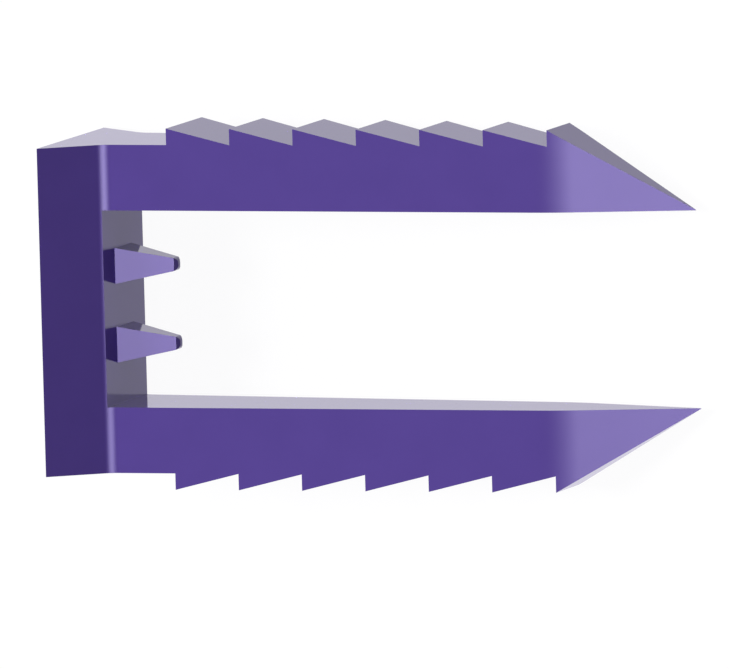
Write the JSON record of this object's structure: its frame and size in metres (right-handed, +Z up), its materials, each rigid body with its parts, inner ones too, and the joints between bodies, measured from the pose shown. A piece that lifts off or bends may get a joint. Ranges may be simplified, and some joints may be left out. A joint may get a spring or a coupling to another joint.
{
  "type": "suture anchor",
  "caption": "Barbed suture anchor shaped like a staple: a flared head, two tapering barbed prongs with sharp tips, and small tapered pegs between them.",
  "frame": {"origin": "middle of the anchor's footprint, on the surface it lies on", "axes": "+X from the head towards the prongs' points, +Y across the two prongs, +Z up through the anchor's depth; it lies on its broad side, tipped about Y by 6.97 degrees, because its head is deeper than its prongs"},
  "size_m": [0.0202, 0.011, 0.0059],
  "materials": {
    "violet_polymer": "smooth glossy violet moulded polymer"
  },
  "bodies": {
    "root": {"anchor_body": "violet_polymer"}
  },
  "joints": []
}
